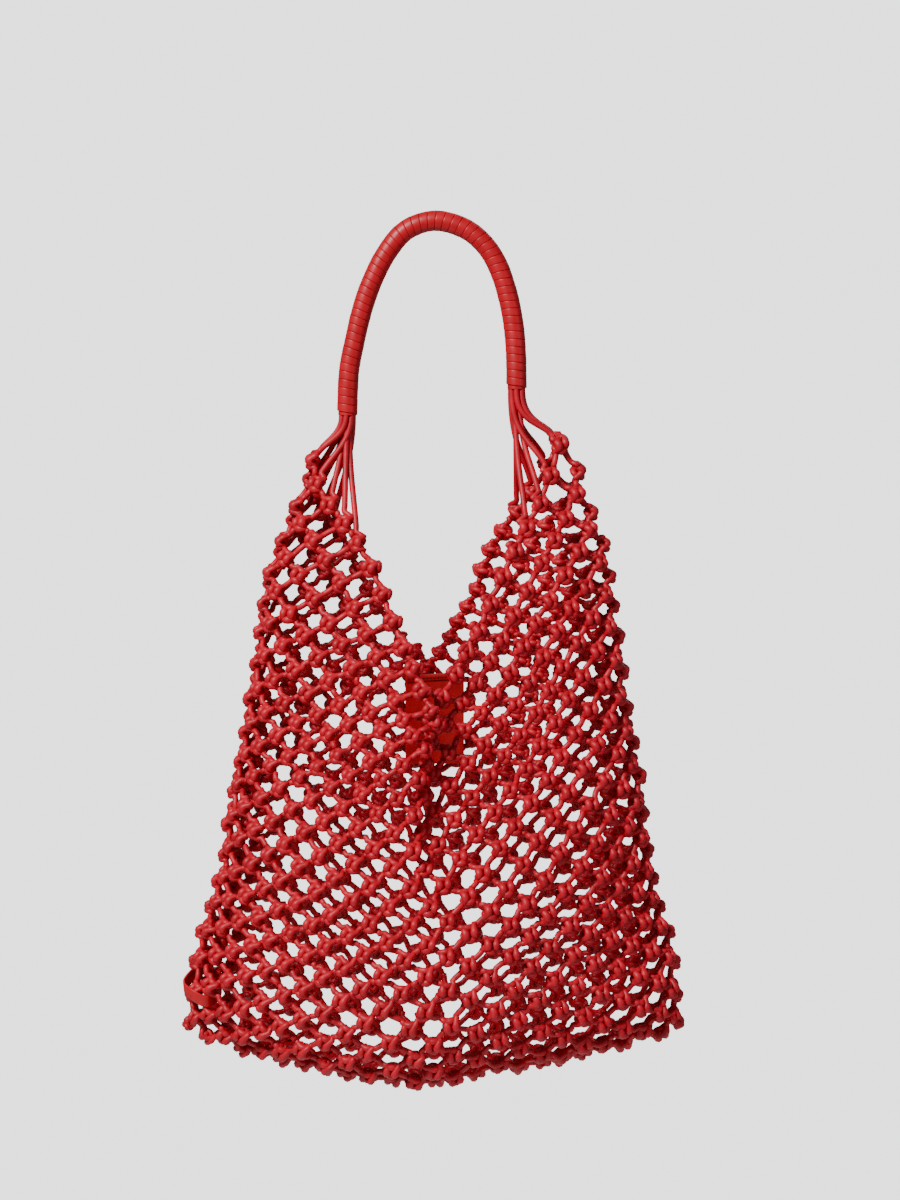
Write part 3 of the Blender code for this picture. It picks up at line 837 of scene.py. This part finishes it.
# Inner patch
# A small panel of deep red leather inside the back of the net, just under the mouth's V.
# Its top edge is folded over to the front as a hem and sewn down with a row of stitches.
patch_low, patch_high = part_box("inner_patch")
PATCH_THICKNESS = 1.3 * MM
PATCH_BOW = 1.5 * MM
WAVE_HEIGHT = 0.5 * MM
WAVE_WIDTH = 5.0 * MM
WAVE_FALL = 11.0 * MM
WAVE_START = 0.7
TOP_INSET = 1.2 * MM
TOP_SLOPE = 0.06
HEM_THICKNESS = 0.9 * MM
HEM_DEPTH = 4.0 * MM
HEM_PROUD = 1.1 * MM
HEM_INSET = 0.3 * MM
STITCH_LINE = 0.62
STITCH_PITCH = 2.4 * MM
STITCH_HALF = 0.55 * MM
STITCH_MARGIN = 2.0 * MM
THREAD_RADIUS = 0.32 * MM
EDGE_SOFTNESS = 0.3
EDGE_STEPS = 3
EDGE_ANGLE = math.radians(50.0)


def patch_face(x, z):
    """How far back the patch's front surface lies: it is bowed and a little wavy."""
    middle = 0.5 * (patch_low.y + patch_high.y)
    half = 0.5 * (patch_high.x - patch_low.x)
    bow = PATCH_BOW * math.cos(0.5 * math.pi * x / half) - 0.5 * PATCH_BOW
    wave = WAVE_HEIGHT * math.sin(x / WAVE_WIDTH + WAVE_START) * math.sin((z - patch_low.z) / WAVE_FALL)
    return middle + bow + wave - 0.5 * PATCH_THICKNESS


def patch_edge(x):
    """The height of the patch's top edge, which rises a little to the right."""
    return patch_high.z - TOP_INSET + TOP_SLOPE * x


def leather_panel(name, columns, rows, corner, thickness):
    """A cut of leather from a grid of (x, z) points on the patch's face, with soft edges."""
    bm = bmesh.new()
    grid = [[bm.verts.new(corner(column / columns, row / rows)) for column in range(columns + 1)]
            for row in range(rows + 1)]
    for upper, lower in zip(grid, grid[1:]):
        for column in range(columns):
            bm.faces.new((upper[column], lower[column], lower[column + 1], upper[column + 1]))
    mesh = bpy.data.meshes.new(name)
    bm.to_mesh(mesh)
    bm.free()
    shape = bpy.data.objects.new(name, mesh)
    bpy.context.scene.collection.objects.link(shape)
    thick = shape.modifiers.new("leather", "SOLIDIFY")
    thick.thickness = thickness
    thick.offset = 0.0
    soft = shape.modifiers.new("edges", "BEVEL")
    soft.width = EDGE_SOFTNESS * thickness
    soft.segments = EDGE_STEPS
    soft.angle_limit = EDGE_ANGLE
    evaluated = shape.evaluated_get(bpy.context.evaluated_depsgraph_get())
    made = bpy.data.meshes.new_from_object(evaluated)
    bpy.data.objects.remove(shape, do_unlink=True)
    made.name = name
    made.shade_smooth()
    return made


def panel_point(across, down):
    """A point of the panel by shares of its width and height."""
    x = patch_low.x + (patch_high.x - patch_low.x) * across
    top = patch_edge(x)
    z = top + (patch_low.z - top) * down
    return Vector((x, patch_face(x, z) + 0.5 * PATCH_THICKNESS, z))


def hem_point(across, down):
    """A point of the hem, which is folded over the panel's top edge and swells between its
    edges."""
    x = patch_low.x + HEM_INSET + (patch_high.x - patch_low.x - 2.0 * HEM_INSET) * across
    z = patch_edge(x) + HEM_INSET - (HEM_DEPTH + HEM_INSET) * down
    swell = math.sin(math.pi * (0.12 + 0.76 * down)) ** 0.4
    return Vector((x, patch_face(x, z) - HEM_PROUD * swell, z))


patch_leather = leather("patch_leather", colour=(0.50, 0.0, 0.006, 1.0),
                        dark=(0.38, 0.0, 0.004, 1.0), roughness=0.45,
                        patch_scale=150.0, grain_scale=900.0, grain_depth=0.12 * MM)
panel = add(leather_panel("inner_panel", 30, 44, panel_point, PATCH_THICKNESS), patch_leather)
hem = add(leather_panel("inner_hem", 30, 8, hem_point, HEM_THICKNESS), patch_leather)
thread = leather("patch_thread", colour=(0.06, 0.0, 0.0, 1.0),
                 dark=(0.03, 0.0, 0.0, 1.0), roughness=0.7,
                 patch_scale=300.0, grain_scale=3000.0, grain_depth=0.05 * MM)
# Along one stitch, as (share of its half length, height over the hem in millimetres).
STITCH_ARCH = ((-1.3, 0.2), (-0.8, 0.55), (0.0, 0.66), (0.8, 0.55), (1.3, 0.2))
stitches = []
middle = patch_low.x + STITCH_MARGIN
while middle < patch_high.x - STITCH_MARGIN:
    z = patch_edge(middle) - STITCH_LINE * HEM_DEPTH
    hem_face = patch_face(middle, z) - HEM_PROUD
    stitches.append([(Vector((middle + share * STITCH_HALF, hem_face - lift * MM, z)), THREAD_RADIUS)
                     for share, lift in STITCH_ARCH])
    middle += STITCH_PITCH
sewing = add(cords_mesh("inner_stitches", stitches, 8), thread)
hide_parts("inner_patch")


# Side tab
# A flat strip of red leather in a closed loop: out through a gap low in the front of the
# net, round the side fold, and in again through a gap in the back, its ends glued inside.
TAB_STRIP = 9.0 * MM
TAB_THICKNESS = 1.5 * MM
TAB_ROW = 33
TAB_STEPS = 96
PAST_FOLD = Vector((6.4, 0.0, 4.4)) * MM
PAST_FRONT_KNOT = Vector((4.0, 5.5, 2.0)) * MM
INSIDE = Vector((9.0, 0.0, 0.0)) * MM
outer = net_point(0, TAB_ROW) - PAST_FOLD
over = net_point(1, TAB_ROW) - PAST_FRONT_KNOT
front = net_point(2, TAB_ROW)
back = net_point(-1, TAB_ROW - 1)
inner = (front + back) / 2.0 + INSIDE
loop = [outer, over, front, inner, back]
axis = (back - over).cross(outer - inner).normalized()
if axis.z < 0.0:
    axis = -axis
middle_line = []
for step in range(TAB_STEPS):
    leg, part = divmod(len(loop) * step / TAB_STEPS, 1.0)
    around = [loop[(int(leg) + shift) % len(loop)] for shift in (-1, 0, 1, 2)]
    middle_line.append(between(*around, part))

# Round the strip's cut end, as shares of its width and thickness: flat, with soft corners.
TAB_SECTION = ((-0.5, -0.28), (-0.47, -0.46), (-0.3, -0.5), (0.3, -0.5), (0.47, -0.46),
               (0.5, -0.28), (0.5, 0.28), (0.47, 0.46), (0.3, 0.5), (-0.3, 0.5), (-0.47, 0.46),
               (-0.5, 0.28))
places, faces = [], []
ring = len(TAB_SECTION)
for step in range(TAB_STEPS):
    way = (middle_line[(step + 1) % TAB_STEPS] - middle_line[step - 1]).normalized()
    face_way = way.cross(axis).normalized()
    for wide, deep in TAB_SECTION:
        corner = axis * wide * TAB_STRIP + face_way * deep * TAB_THICKNESS
        places.append(middle_line[step] + corner)
    here, following = step * ring, (step + 1) % TAB_STEPS * ring
    for index in range(ring):
        turn = (index + 1) % ring
        faces.append((here + index, here + turn, following + turn, following + index))
tab_leather = leather("tab_leather", colour=(0.54, 0.0, 0.008, 1.0),
                      dark=(0.44, 0.0, 0.005, 1.0), roughness=0.45,
                      patch_scale=110.0, grain_scale=1200.0, grain_depth=0.10 * MM)
tab = add(closed_mesh("side_loop", places, faces), tab_leather)
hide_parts("side_tab")
